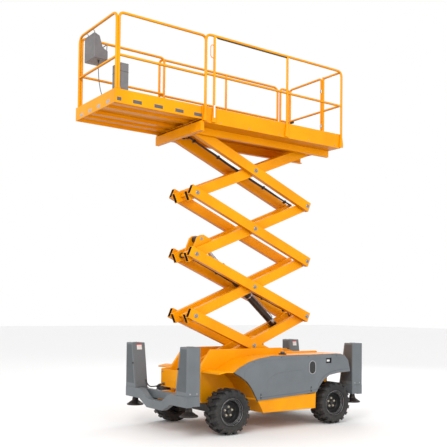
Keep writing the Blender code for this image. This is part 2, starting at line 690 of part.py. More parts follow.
# ---------------------------------------------------------------- the whole lift
def build():
    chassis_frame()
    front_axle()
    rear_axle()
    for tag, side in (("left", 1), ("right", -1)):
        side_box(tag, side)
        side_door(tag, side)
        knuckle(tag, side)
        wheel("front_" + tag, WHEELBASE / 2, side)
        wheel("rear_" + tag, -WHEELBASE / 2, side)
        for end, tower_x in (("front", FRONT_TOWER_X), ("rear", REAR_TOWER_X)):
            tower(end + "_" + tag, tower_x, side)
            jack(end + "_" + tag, tower_x, side)
    bay_contents()
    bumper("front", FRONT_TOWER_X)
    bumper("rear", REAR_TOWER_X)
    for stage in range(1, STAGES + 1):
        inner_frame(stage)
        outer_frame(stage)
    lift_cylinder()
    main_deck()
    main_rail("left", 1, 1.400, DECK_REAR, (1.250, -0.146))
    main_rail("right", -1, 1.400, -1.050, (0.090,))
    rear_rails()
    rear_gate()
    extension_deck()
    extension_rails()
    platform_boxes()
    control_cable()


clear_scene()
PARTS = new_collection("scissor_lift")
CUTTERS = new_collection("cutters")
build()
for node in PARTS.objects:
    node.location.x -= MIDDLE_X
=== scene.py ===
"""The looks of the scissor lift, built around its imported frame."""
import json
import math

import bmesh
import bpy
from mathutils import Matrix, Vector


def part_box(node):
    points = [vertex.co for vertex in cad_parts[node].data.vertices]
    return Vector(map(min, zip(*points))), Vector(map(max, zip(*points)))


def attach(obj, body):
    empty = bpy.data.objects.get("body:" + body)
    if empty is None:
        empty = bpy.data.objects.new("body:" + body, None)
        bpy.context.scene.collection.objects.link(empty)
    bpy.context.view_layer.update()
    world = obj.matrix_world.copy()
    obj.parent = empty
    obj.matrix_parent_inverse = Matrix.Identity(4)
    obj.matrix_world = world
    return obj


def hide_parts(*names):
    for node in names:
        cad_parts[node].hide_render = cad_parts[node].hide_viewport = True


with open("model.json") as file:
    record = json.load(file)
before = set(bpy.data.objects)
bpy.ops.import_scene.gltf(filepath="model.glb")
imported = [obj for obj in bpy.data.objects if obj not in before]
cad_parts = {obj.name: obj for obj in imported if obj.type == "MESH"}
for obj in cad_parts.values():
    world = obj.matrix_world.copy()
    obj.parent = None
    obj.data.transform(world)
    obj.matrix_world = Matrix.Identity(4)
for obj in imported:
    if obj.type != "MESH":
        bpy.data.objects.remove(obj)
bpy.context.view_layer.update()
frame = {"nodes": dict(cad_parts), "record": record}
BODY_OF = {node: body for body, nodes in frame["record"]["behaviour"]["bodies"].items()
           for node in nodes}
SLOT_OF = {row["node"]: row["material_slot"] for row in frame["record"]["subparts"]}
SIDES = (("left", 1), ("right", -1))


def middle(node):
    """The middle of a CAD node's box."""
    low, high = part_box(node)
    return (low + high) / 2


# ---------------------------------------------------------------- places, from the frame
HUB_FRONT, HUB_REAR = middle("tyre_front_left"), middle("tyre_rear_left")
MID_X = (HUB_FRONT.x + HUB_REAR.x) / 2          # the middle of the wheelbase
JOINTS = {joint["name"]: joint for joint in frame["record"]["behaviour"]["joints"]}
PIVOT = Vector(JOINTS["scissor_lift"]["pos_m"])
TOP_PIVOT = Vector(JOINTS["platform_pivot"]["pos_m"])
STAGES = 4
RISE = (TOP_PIVOT.z - PIVOT.z) / STAGES
CENTRE_X = JOINTS["stage_1_centre"]["pos_m"][0]
REAR_X = 2 * CENTRE_X - PIVOT.x
ARM_AHEAD = Vector((PIVOT.x - REAR_X, 0, RISE)).normalized()     # along an outer arm
ARM_DEPTH = 0.155
INNER_Y, OUTER_Y, ARM_THICK = 0.130, 0.220, 0.080
DECK_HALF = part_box("main_deck")[1].y
BOARD_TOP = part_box("main_deck")[1].z
TOP_RAIL = 5.780
MID_RAIL = 5.200
RAIL_R = 0.0190
BAR_R = RAIL_R * 0.95
POST_R = RAIL_R * 0.97
BOARD_Z = 4.510                    # the foot of the main deck's posts
DOOR_Y = 0.8640                    # the doors' outer faces


def at(x, y, z):
    """A point measured from the middle of the wheelbase."""
    return Vector((x + MID_X, y, z))


def across(y):
    return Vector((0, y, 0))


def up(z):
    return Vector((0, 0, z))


def polar(radius, angle, height):
    """A point on a circle round the Z axis."""
    return Vector((radius * math.cos(angle), radius * math.sin(angle), height))


def tilt(along):
    """The turn about Y that lays a block along a direction."""
    return Matrix.Rotation(-math.atan2(along.z, along.x), 3, "Y")


def placed(name, data):
    """A new object, put in the scene."""
    item = bpy.data.objects.new(name, data)
    bpy.context.scene.collection.objects.link(item)
    return item


# ---------------------------------------------------------------- camera and lights
def add_camera():
    yaw, pitch, roll = math.radians(54.323), 0.030, 0.011
    flat = Vector((-math.cos(yaw), -math.sin(yaw), 0))
    right = Vector((-math.sin(yaw), math.cos(yaw), 0))
    ahead = flat * math.cos(pitch) + up(1) * math.sin(pitch)
    above = up(1) * math.cos(pitch) - flat * math.sin(pitch)
    side = right * math.cos(roll) + above * math.sin(roll)
    above = above * math.cos(roll) - right * math.sin(roll)
    data = bpy.data.cameras.new("camera")
    data.sensor_width = 36.0
    data.lens = 57.78
    data.shift_y = 0.1458
    data.clip_end = 200.0
    camera = placed("camera", data)
    turn = Matrix((side, above, -ahead)).transposed().to_4x4()
    camera.matrix_world = Matrix.Translation(at(7.147, 9.160, 1.786)) @ turn
    bpy.context.scene.camera = camera


def add_light(name, place, target, size, power, colour):
    data = bpy.data.lights.new(name, "AREA")
    data.shape = "DISK"
    data.size = size
    data.energy = power
    data.color = colour
    lamp = placed(name, data)
    lamp.location = place
    lamp.rotation_euler = (Vector(target) - Vector(place)).to_track_quat("-Z", "Y").to_euler()


def add_studio():
    world = bpy.data.worlds.new("studio")
    world.use_nodes = True
    background = world.node_tree.nodes["Background"]
    background.inputs["Color"].default_value = (1.0, 1.0, 1.0, 1.0)
    background.inputs["Strength"].default_value = 1.0
    bpy.context.scene.world = world
    bpy.context.scene.view_settings.view_transform = "Standard"
    centre = at(0.3, 0, 2.8)
    add_light("key", at(9.0, 8.0, 9.5), centre, 5.0, 560, (1.0, 0.98, 0.95))
    add_light("fill", at(1.0, 10.0, 4.0), centre, 6.0, 120, (0.97, 0.98, 1.0))
    add_light("back", at(-8.0, -6.0, 8.0), centre, 5.0, 260, (1.0, 1.0, 1.0))
    bpy.ops.mesh.primitive_plane_add(size=120.0, location=(0, 0, 0))
    floor = bpy.context.object
    floor.name = "floor"
    floor.data.materials.append(plain("floor_white", (0.90, 0.90, 0.90), 0.9))


# ---------------------------------------------------------------- materials
def plain(name, colour, roughness, metallic=0.0):
    made = bpy.data.materials.new(name)
    made.use_nodes = True
    shader = made.node_tree.nodes["Principled BSDF"]
    shader.inputs["Base Color"].default_value = (*colour, 1.0)
    shader.inputs["Roughness"].default_value = roughness
    shader.inputs["Metallic"].default_value = metallic
    return made


def add_node(tree, kind, **values):
    """A shader node with its inputs set; an underscore in a name stands for a space."""
    made = tree.nodes.new("ShaderNode" + kind)
    for key, value in values.items():
        made.inputs[key.replace("_", " ")].default_value = value
    return made


def surface(name, colour, other, roughness, metallic=0.0, scale=6.0, fine=180.0,
            bump=0.05, depth=0.0008, spread=0.12, dust=0.0, dust_top=0.9, shine=0.5,
            painted_underside_shade=0.0):
    """A material whose colour and gloss drift slowly, with a fine grain, dust low down and
    a painted shade that darkens the faces that look down towards brown."""
    made = plain(name, colour, roughness, metallic)
    tree = made.node_tree
    links = tree.links
    shader = tree.nodes["Principled BSDF"]
    shader.inputs["Specular IOR Level"].default_value = shine
    source = add_node(tree, "TexCoord")
    place = source.outputs["Object"]

    def noise(size, detail):
        made_noise = add_node(tree, "TexNoise", Scale=size, Detail=detail)
        links.new(place, made_noise.inputs["Vector"])
        return made_noise.outputs["Fac"]

    def ranged(value, low, high, to_low, to_high):
        step = add_node(tree, "MapRange", From_Min=low, From_Max=high, To_Min=to_low,
                        To_Max=to_high)
        links.new(value, step.inputs["Value"])
        return step.outputs["Result"]

    def along_z(vector):
        parts = add_node(tree, "SeparateXYZ")
        links.new(vector, parts.inputs["Vector"])
        return parts.outputs["Z"]

    def mixed(factor, first, second):
        mix = add_node(tree, "Mix")
        mix.data_type = "RGBA"
        links.new(factor, mix.inputs["Factor"])
        if isinstance(first, tuple):
            mix.inputs["A"].default_value = (*first, 1.0)
        else:
            links.new(first, mix.inputs["A"])
        mix.inputs["B"].default_value = (*second, 1.0)
        return mix.outputs["Result"]

    shade = mixed(ranged(noise(scale, 6.0), 0.35, 0.70, 0.0, 1.0), colour, other)
    if dust > 0.0:
        grain = add_node(tree, "Math")
        grain.operation = "MULTIPLY"
        links.new(ranged(along_z(place), 0.0, dust_top, dust, 0.0), grain.inputs[0])
        links.new(ranged(noise(scale * 4.0, 8.0), 0.38, 0.62, 0.0, 1.0), grain.inputs[1])
        shade = mixed(grain.outputs["Value"], shade, (0.20, 0.165, 0.125))
    # painted shade: faces that look down are darkened towards brown, as if in shadow
    if painted_underside_shade > 0.0:
        shade = mixed(ranged(along_z(source.outputs["Normal"]), -0.35, -0.85, 0.0, painted_underside_shade),
                      shade, (0.30, 0.082, 0.001))
    links.new(shade, shader.inputs["Base Color"])
    gloss = ranged(noise(scale * 2.5, 8.0), 0.3, 0.7, roughness - spread / 2,
                   roughness + spread / 2)
    links.new(gloss, shader.inputs["Roughness"])
    relief = add_node(tree, "Bump", Strength=bump, Distance=depth)
    links.new(noise(fine, 2.0), relief.inputs["Height"])
    links.new(relief.outputs["Normal"], shader.inputs["Normal"])
    return made


def tread_plate(name, colour, other):
    """Sheet with raised crossed bars."""
    made = surface(name, colour, other, 0.45)
    tree = made.node_tree
    links = tree.links
    place = add_node(tree, "TexCoord").outputs["Object"]
    total = add_node(tree, "Math")
    total.operation = "MAXIMUM"
    for index, turn in enumerate((math.radians(45), math.radians(-45))):
        move = add_node(tree, "Mapping", Rotation=(0, 0, turn))
        links.new(place, move.inputs["Vector"])
        bars = add_node(tree, "TexVoronoi", Scale=26.0, Randomness=0.0)
        links.new(move.outputs["Vector"], bars.inputs["Vector"])
        links.new(bars.outputs["Distance"], total.inputs[index])
    step = add_node(tree, "MapRange", From_Min=0.25, From_Max=0.45)
    links.new(total.outputs["Value"], step.inputs["Value"])
    relief = tree.nodes["Bump"]
    relief.inputs["Strength"].default_value = 0.6
    relief.inputs["Distance"].default_value = 0.002
    links.new(step.outputs["Result"], relief.inputs["Height"])
    return made


def make_materials():
    yellow, deep = (0.91, 0.365, 0.001), (0.83, 0.300, 0.001)
    return {
        # the yellow's down-facing faces carry painted shade, darkened towards brown
        "yellow": surface("yellow_paint", yellow, deep, 0.34, scale=2.2, fine=420.0,
                          bump=0.06, dust=0.10, dust_top=0.70, shine=0.14, painted_underside_shade=0.62),
        "grey": surface("grey_paint", (0.150, 0.168, 0.182), (0.128, 0.144, 0.156), 0.46,
                        scale=3.0, fine=500.0, bump=0.10, dust=0.10, dust_top=0.6, shine=0.4),
        # a darker grey for bolts, caps and plates, used also as painted shade on recessed panels
        # and cut-outs
        "grey_dark": surface("grey_dark_and_recess_shade", (0.092, 0.102, 0.112), (0.075, 0.084, 0.092), 0.55,
                             scale=3.0, fine=500.0, bump=0.10),
        "steel_dark": surface("greased_steel", (0.028, 0.025, 0.026), (0.050, 0.038, 0.030), 0.42,
                              0.55, scale=9.0, fine=300.0, bump=0.15, spread=0.3),
        "steel": surface("bare_steel", (0.46, 0.45, 0.45), (0.34, 0.33, 0.33), 0.32, 1.0,
                         scale=20.0, fine=700.0, bump=0.08, spread=0.2),
        "zinc": surface("zinc_bolt", (0.62, 0.56, 0.42), (0.50, 0.47, 0.40), 0.34, 0.9,
                        scale=40.0, fine=700.0, bump=0.08, spread=0.2),
        "rubber": surface("tyre_rubber", (0.014, 0.014, 0.015), (0.026, 0.025, 0.025), 0.66,
                          scale=12.0, fine=260.0, bump=0.35, depth=0.0015, spread=0.2,
                          dust=0.16, dust_top=0.60),
        "rim": surface("rim_paint", (0.022, 0.022, 0.024), (0.035, 0.033, 0.033), 0.36, 0.3,
                       scale=10.0, fine=400.0, bump=0.10, spread=0.2, dust=0.08, dust_top=0.6),
        "chrome": surface("hard_chrome", (0.48, 0.48, 0.50), (0.40, 0.40, 0.42), 0.16, 1.0,
                          scale=8.0, fine=900.0, bump=0.02, spread=0.08),
        "box": surface("box_metal", (0.185, 0.175, 0.180), (0.145, 0.138, 0.142), 0.48, 0.15,
                       scale=8.0, fine=500.0, bump=0.15),
        "black": surface("black_plastic", (0.014, 0.014, 0.015), (0.022, 0.022, 0.022), 0.48,
                         scale=14.0, fine=600.0, bump=0.2),
        "hose": surface("hose_rubber", (0.012, 0.012, 0.012), (0.024, 0.022, 0.021), 0.5,
                        scale=30.0, fine=900.0, bump=0.25),
        "red": surface("red_plastic", (0.62, 0.012, 0.010), (0.50, 0.010, 0.008), 0.3,
                       scale=20.0, fine=600.0, bump=0.05),
        "white": surface("white_label", (0.80, 0.79, 0.77), (0.70, 0.69, 0.67), 0.5,
                         scale=20.0, fine=500.0, bump=0.05),
        "patch": surface("grey_patch", (0.44, 0.42, 0.42), (0.36, 0.35, 0.36), 0.5,
                         scale=20.0, fine=500.0, bump=0.05),
        "tread": tread_plate("tread_plate", (0.56, 0.285, 0.020), (0.46, 0.250, 0.050)),
    }


CAD_LOOK = {"yellow_paint": "yellow", "grey_paint": "grey", "dark_steel": "steel_dark",
            "tyre": "rubber", "rim_paint": "rim", "chrome": "chrome", "box_metal": "box",
            "cable": "hose"}


# ---------------------------------------------------------------- mesh building
class Kit:
    """Shapes gathered into one piece, each with its own material."""

    def __init__(self, name):
        self.name = name
        self.bm = bmesh.new()
        self.looks = []

    def take(self, part, look, smooth=True):
        if look not in self.looks:
            self.looks.append(look)
        bmesh.ops.recalc_face_normals(part, faces=part.faces)
        for face in part.faces:
            face.material_index = self.looks.index(look)
            face.smooth = smooth
        mesh = bpy.data.meshes.new("shape")
        part.to_mesh(mesh)
        part.free()
        self.bm.from_mesh(mesh)
        bpy.data.meshes.remove(mesh)

    def box(self, low, high, look, bevel=0.003, turn=None):
        """A block with rounded edges, optionally turned about its middle."""
        low, high = Vector(low), Vector(high)
        size = high - low
        part = bmesh.new()
        bmesh.ops.create_cube(part, size=1.0)
        bmesh.ops.scale(part, vec=size, verts=part.verts)
        width = min(bevel, 0.45 * min(abs(value) for value in size))
        bmesh.ops.bevel(part, geom=list(part.edges), offset=width, segments=2, profile=0.6,
                        affect="EDGES")
        if turn is not None:
            part.transform(turn.to_4x4())
        bmesh.ops.translate(part, vec=(low + high) / 2, verts=part.verts)
        self.take(part, look)

    def slab(self, xs, y, half, zs, look, bevel):
        """A block half as thick each way from a plane at y, measured as at() does."""
        self.box(at(xs[0], y - half, zs[0]), at(xs[1], y + half, zs[1]), look, bevel)

    def rings(self, rings, look, closed_ends=True, wrap=False):
        """Joins rings of points into a skin."""
        part = bmesh.new()
        rows = [[part.verts.new(point) for point in ring] for ring in rings]
        pairs = list(zip(rows, rows[1:]))
        if wrap:
            pairs.append((rows[-1], rows[0]))
        for near, far in pairs:
            for i in range(len(near)):
                j = (i + 1) % len(near)
                part.faces.new((near[i], near[j], far[j], far[i]))
        if closed_ends and not wrap:
            part.faces.new(list(reversed(rows[0])))
            part.faces.new(rows[-1])
        self.take(part, look)

    def tube(self, points, radius, look, sides=16):
        """A round tube along points."""
        points = [Vector(point) for point in points]
        first = (points[1] - points[0]).normalized()
        sideways = first.orthogonal().normalized()
        rings = []
        for i, point in enumerate(points):
            before = points[max(i - 1, 0)]
            after = points[min(i + 1, len(points) - 1)]
            along = (after - before).normalized()
            sideways = (sideways - along * sideways.dot(along)).normalized()
            above = along.cross(sideways)
            ring = []
            for k in range(sides):
                angle = 2 * math.pi * k / sides
                ring.append(point + (sideways * math.cos(angle) + above * math.sin(angle)) * radius)
            rings.append(ring)
        self.rings(rings, look)

    def turned(self, profile, centre, axis, look, steps=48):
        """A profile of (radius, height) turned about an axis; it starts and ends on the axis,
        or else it closes on itself."""
        turn = Vector(axis).to_track_quat("Z", "Y").to_matrix()
        solid = profile[0][0] == 0.0
        inner = profile[1:-1] if solid else profile
        rings = []
        for radius, height in inner:
            rings.append([turn @ polar(radius, 2 * math.pi * k / steps, height) + Vector(centre)
                          for k in range(steps)])
        self.rings(rings, look, closed_ends=solid, wrap=not solid)

    def rod(self, start, end, radius, look, steps=32, chamfer=0.002):
        start, end = Vector(start), Vector(end)
        length = (end - start).length
        chamfer = min(chamfer, radius * 0.4, length * 0.3)
        profile = [(0.0, 0.0), (radius - chamfer, 0.0), (radius, chamfer),
                   (radius, length - chamfer), (radius - chamfer, length), (0.0, length)]
        self.turned(profile, start, end - start, look, steps)

    def peg(self, place, step, radius, look, steps=32, chamfer=0.002):
        """A rod from a place, along a step."""
        self.rod(place, place + step, radius, look, steps, chamfer)

    def rail(self, points, radius=RAIL_R):
        self.tube(points, radius, "yellow", 20)

    def bolt(self, place, axis, radius, look, height=None):
        """A hexagon head on a washer."""
        height = radius * 0.75 if height is None else height
        axis = Vector(axis).normalized()
        place = Vector(place)
        self.rod(place, place + axis * height * 0.25, radius * 1.45, look, 20, 0.0006)
        self.rod(place + axis * height * 0.2, place + axis * height * 1.25, radius, look, 6,
                 0.001)

    def done(self, body, replaces=()):
        """Makes the piece and puts it on its body."""
        mesh = bpy.data.meshes.new(self.name)
        self.bm.to_mesh(mesh)
        self.bm.free()
        mesh.set_sharp_from_angle(angle=math.radians(38))
        item = placed(self.name, mesh)
        for look in self.looks:
            mesh.materials.append(LOOKS[look])
        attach(item, body)
        if replaces:
            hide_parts(*replaces)
        return item


def applied(item):
    """Turns an object's modifiers into mesh."""
    graph = bpy.context.evaluated_depsgraph_get()
    mesh = bpy.data.meshes.new_from_object(item.evaluated_get(graph))
    item.modifiers.clear()
    item.data = mesh
    return item


def skin_area(bm):
    """The area of a mesh's triangles, which grows if a face crosses itself."""
    test = bm.copy()
    bmesh.ops.triangulate(test, faces=test.faces)
    area = sum(face.calc_area() for face in test.faces)
    test.free()
    return area


def round_edges(bm, width):
    """Rounds the long outer edges, and leaves sharp those that meet a small step."""
    def small(vert):
        return any(edge.calc_length() < 2.5 * width for edge in vert.link_edges)

    chosen = []
    for edge in bm.edges:
        if edge.calc_face_angle(0.0) < math.radians(32):
            continue
        if edge.calc_length() > 6 * width and not any(small(vert) for vert in edge.verts):
            chosen.append(edge)
        else:
            edge.smooth = False
    bmesh.ops.bevel(bm, geom=chosen, offset=width, segments=2, profile=0.6, affect="EDGES",
                    clamp_overlap=True)


def dressed(node, look=None, bevel=0.003, hollow=None):
    """A copy of a CAD node with clean flat faces and rounded edges, in its place."""
    source = frame["nodes"][node]
    bm = bmesh.new()
    bm.from_mesh(source.data)
    bmesh.ops.remove_doubles(bm, verts=bm.verts, dist=2e-5)
    crisp = bm.copy()
    area = skin_area(bm)
    bmesh.ops.dissolve_limit(bm, angle_limit=math.radians(1.5), verts=bm.verts, edges=bm.edges)
    whole = abs(skin_area(bm) - area) < 0.002 * area
    round_edges(bm, bevel)
    if not whole or skin_area(bm) > 1.001 * area:
        bm.free()
        bm = crisp
        for edge in bm.edges:
            edge.smooth = edge.calc_face_angle(0.0) < math.radians(32)
    if hollow is not None:
        open_ends(bm, hollow)
    for face in bm.faces:
        face.smooth = True
    mesh = bpy.data.meshes.new(node + "_finish")
    bm.to_mesh(mesh)
    bm.free()
    item = placed(node + "_finish", mesh)
    mesh.materials.append(LOOKS[look or CAD_LOOK[SLOT_OF[node]]])
    # the second, black material paints shade on the insides of the hollow arm ends
    if hollow is not None:
        mesh.materials.append(LOOKS["black"])
    weighted = item.modifiers.new("normals", "WEIGHTED_NORMAL")
    weighted.keep_sharp = True
    bpy.context.view_layer.update()
    applied(item)
    item.data.name = node + "_finish"
    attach(item, BODY_OF[node])
    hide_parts(node)
    return item


def open_ends(bm, along):
    """Hollows the square ends of a pair of arms, so that they are open tubes whose insides are
    painted black as painted shade.
    """
    wall, reach = 0.007, 0.110
    for sign in (1, -1):
        way = Vector(along) * sign
        ends = [face for face in bm.faces if face.normal.dot(way) > 0.995
                and face.calc_area() > 0.5 * ARM_DEPTH * ARM_THICK
                and face.calc_area() < 1.5 * ARM_DEPTH * ARM_THICK]
        for face in ends:
            for edge in face.edges:
                edge.smooth = False
            bmesh.ops.inset_individual(bm, faces=[face], thickness=wall)
            for edge in face.edges:
                edge.smooth = False
            result = bmesh.ops.extrude_discrete_faces(bm, faces=[face])
            for moved in result["faces"]:
                bmesh.ops.translate(bm, vec=-way * reach, verts=moved.verts)
                # painted shade: the walls and floor of each hollow end are black
                moved.material_index = 1
                for edge in moved.edges:
                    for side in edge.link_faces:
                        side.material_index = 1


def bent(points, radius, steps=6):
    """Rounds the inner corners of a path."""
    path = [Vector(points[0])]
    for before, corner, after in zip(points, points[1:], points[2:]):
        corner = Vector(corner)
        start = corner + (Vector(before) - corner).normalized() * radius
        end = corner + (Vector(after) - corner).normalized() * radius
        for i in range(steps + 1):
            t = i / steps
            path.append(start * (1 - t) ** 2 + corner * 2 * t * (1 - t) + end * t ** 2)
    path.append(Vector(points[-1]))
    return path


def smooth_route(points, step):
    """Points a step apart on a smooth curve through a route."""
    ends = [Vector(points[0])] + [Vector(p) for p in points] + [Vector(points[-1])]
    fine = []
    for a, b, c, d in zip(ends, ends[1:], ends[2:], ends[3:]):
        count = max(1, round((c - b).length / step))
        for i in range(count):
            t = i / count
            fine.append(0.5 * (2 * b + (c - a) * t + (2 * a - 5 * b + 4 * c - d) * t ** 2
                               + (3 * b - a - 3 * c + d) * t ** 3))
    fine.append(ends[-1])
    return fine


# ---------------------------------------------------------------- the free cable
CABLE_ROUTE = [(2.660, -0.250, 5.3697), (2.660, -0.249, 5.335), (2.660, -0.246, 5.270),
               (2.661, -0.238, 5.190), (2.662, -0.222, 5.100), (2.663, -0.196, 5.010),
               (2.664, -0.160, 4.922), (2.665, -0.115, 4.845), (2.666, -0.062, 4.782),
               (2.667, -0.002, 4.733), (2.668, 0.062, 4.702), (2.669, 0.128, 4.692),
               (2.669, 0.192, 4.702), (2.669, 0.248, 4.728), (2.668, 0.292, 4.762),
               (2.668, 0.322, 4.782), (2.668, 0.345, 4.790), (2.668, 0.3588, 4.791)]
CABLE_R = 0.005


def add_cable():
    """The control cable, from the control box down to the manual box's side."""
    path = smooth_route([at(*point) for point in CABLE_ROUTE], 0.012)
    kit = Kit("control_cable_sheath")
    kit.tube(path, CABLE_R, "hose", 14)
    item = kit.done("extension", ["control_cable"])


# ---------------------------------------------------------------- wheels
def tyre(tag, side):
    """A carcass with two rows of chunky slanted lugs that wrap over its shoulders."""
    node = "tyre_" + tag
    hub = middle(node)
    axis = Vector((0, side, 0))
    kit = Kit(node + "_cleated")
    carcass = [(0.200, 0.112), (0.206, 0.126), (0.222, 0.132), (0.244, 0.139), (0.270, 0.140),
               (0.288, 0.134), (0.298, 0.118), (0.303, 0.080), (0.305, 0.0)]
    profile = carcass + [(r, -h) for r, h in reversed(carcass[:-1])]
    kit.turned(profile, hub, axis, "rubber", 96)
    for ring_r, ring_h in ((0.214, 0.1305), (0.236, 0.1375)):
        bead = [(ring_r + 0.004 * math.cos(math.radians(a)),
                 ring_h + 0.003 * math.sin(math.radians(a))) for a in (90, 0, -90, 180)]
        kit.turned(bead, hub, axis, "rubber", 72)
    turn = axis.to_track_quat("Z", "Y").to_matrix()
    count = 17
    stations = [(-0.012, 0.3290, 0.300, 0.150, 0.060), (0.045, 0.3297, 0.300, 0.090, 0.068),
                (0.095, 0.3285, 0.295, 0.030, 0.076), (0.128, 0.3215, 0.285, 0.000, 0.084),
                (0.1425, 0.3030, 0.270, -0.006, 0.080), (0.1445, 0.2760, 0.258, -0.010, 0.066),
                (0.1430, 0.2580, 0.250, -0.012, 0.050)]
    for row in (1, -1):
        for i in range(count):
            base = 2 * math.pi * (i + (0.25 if row > 0 else -0.25)) / count
            rings = []
            for height, high, low, lean, half in stations:
                quad = []
                for radius, offset in ((high, -half), (high, half), (low, half * 1.12),
                                       (low, -half * 1.12)):
                    point = polar(radius, base + lean + offset, row * height)
                    quad.append(turn @ point + hub)
                rings.append(quad)
            kit.rings(rings, "rubber")
    kit.done(BODY_OF[node], [node])


def rim(tag, side):
    """A dished pressed rim with bright bare-steel rings on its lips as painted highlights, a hub
    and five wheel bolts.
    """
    node = "rim_" + tag
    hub = middle(node)
    axis = Vector((0, side, 0))
    kit = Kit(node + "_pressed")
    dish = [(0.0, 0.052), (0.030, 0.052), (0.036, 0.046), (0.038, 0.030), (0.092, 0.026),
            (0.104, 0.018), (0.126, 0.004), (0.146, 0.004), (0.155, 0.016), (0.160, 0.050),
            (0.166, 0.078), (0.177, 0.086), (0.181, 0.096), (0.184, 0.110), (0.193, 0.119),
            (0.1975, 0.116), (0.1975, -0.118), (0.184, -0.112), (0.172, -0.080),
            (0.158, -0.020), (0.120, -0.030), (0.070, -0.045), (0.070, -0.055), (0.0, -0.055)]
    kit.turned(dish, hub, axis, "rim", 80)
    # painted highlights: bare steel rings on the black rim's lips
    for ring_r, ring_h, thick in ((0.1935, 0.1195, 0.0022), (0.1795, 0.0945, 0.0022),
                                  (0.1665, 0.0795, 0.0018)):
        loop = [(ring_r + thick * math.cos(a), ring_h + thick * math.sin(a))
                for a in [2 * math.pi * k / 8 for k in range(8)]]
        kit.turned(loop, hub, axis, "steel", 72)
    turn = axis.to_track_quat("Z", "Y").to_matrix()
    for i in range(5):
        foot = turn @ polar(0.066, 2 * math.pi * i / 5 + 0.3, 0.027) + hub
        kit.bolt(foot, axis, 0.0115, "zinc", 0.014)
    for i in range(8):
        foot = turn @ polar(0.135, 2 * math.pi * (i + 0.5) / 8, 0.0035) + hub
        kit.peg(foot, axis * 0.002, 0.011, "black", 20, 0.0005)
    kit.done(BODY_OF[node], [node])


# ---------------------------------------------------------------- scissor stack
def stack_frames():
    for stage in range(1, STAGES + 1):
        lean = Vector((-ARM_AHEAD.x, 0, ARM_AHEAD.z))
        dressed("inner_frame_%d" % stage, bevel=0.004, hollow=lean)
        dressed("outer_frame_%d" % stage, bevel=0.004, hollow=ARM_AHEAD)


def pin_head(kit, place, side):
    """The end of a pin with its keeper plate and screw."""
    face = place + across(side * 0.0005)
    out = across(side)
    kit.peg(face, out * 0.010, 0.033, "steel", 36, 0.003)
    kit.peg(face + out * 0.010, out * 0.003, 0.017, "grey_dark", 24, 0.001)
    kit.bolt(face + out * 0.013, out, 0.006, "zinc", 0.004)


def stack_pins():
    """Pin heads on the outside of the outer arms, and collars between the arms."""
    y = OUTER_Y + ARM_THICK
    for stage in range(1, STAGES + 1):
        low, high = PIVOT.z + (stage - 1) * RISE, PIVOT.z + stage * RISE
        kit = Kit("pins_stage_%d" % stage)
        for side in (-1, 1):
            places = [Vector((CENTRE_X, side * y, (low + high) / 2))]
            if stage < STAGES:
                places.append(Vector((PIVOT.x, side * y, high)))
            if stage > 1:
                places.append(Vector((REAR_X, side * y, low)))
            for place in places:
                pin_head(kit, place, side)
            for place in places:
                kit.peg(place - across(side * (ARM_THICK + 0.001)), across(side * -0.008), 0.047,
                        "grey_dark", 36, 0.001)
        kit.done("outer_frame_%d" % stage)


def rollers():
    """Nylon-tyred rollers at the sliding ends, with their bolts."""
    for name, body, z in (("lower", "outer_frame_1", PIVOT.z),
                          ("upper", "inner_frame_4", PIVOT.z + STAGES * RISE)):
        kit = Kit("rollers_" + name)
        for side in (-1, 1):
            start = Vector((REAR_X, side * 0.306, z))
            kit.peg(start, across(side * 0.033), 0.0402, "patch", 40, 0.004)
            kit.bolt(start + across(side * 0.033), across(side), 0.012, "zinc", 0.0015)
        kit.done(body)


def hose_run(kit, start, end, y, sag, radius):
    """A hose clipped along an arm, hanging a little between its clips."""
    start, end = Vector(start), Vector(end)
    start.y = end.y = y
    points = []
    count = 32
    for i in range(count + 1):
        t = i / count
        droop = sag * math.sin(math.pi * t) + 0.006 * math.sin(math.pi * 4 * t) ** 2
        points.append(start.lerp(end, t) - up(droop))
    kit.tube(points, radius, "hose", 10)


